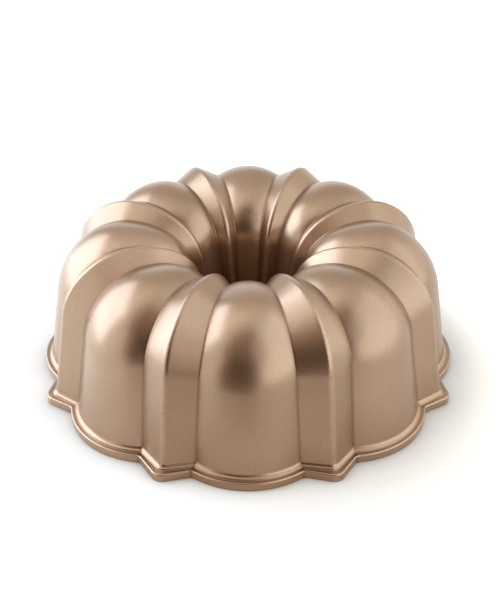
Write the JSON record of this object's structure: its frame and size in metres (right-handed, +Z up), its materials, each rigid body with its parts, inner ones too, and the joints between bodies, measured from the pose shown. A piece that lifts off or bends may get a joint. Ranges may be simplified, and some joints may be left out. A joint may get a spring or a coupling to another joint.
{
  "type": "bundt pan",
  "caption": "Cast tube cake pan, rim down: round lobes and pointed ribs alternate round the wall and over the crown into a fluted centre tube, with a stepped flange at the rim.",
  "frame": {"origin": "on the pan's axis, in the plane of the rim face that rests on the table", "axes": "+Z up along the axis through the crown, -Y through the middle of a round lobe, which is the front"},
  "size_m": [0.27, 0.27, 0.0988],
  "materials": {
    "cast_aluminium": "satin",
    "bronze_coat": "satin",
    "release_coat": "satin"
  },
  "bodies": {
    "root": {"cast_body": "cast_aluminium", "exterior_coat": "bronze_coat", "nonstick_lining": "release_coat"}
  },
  "joints": []
}
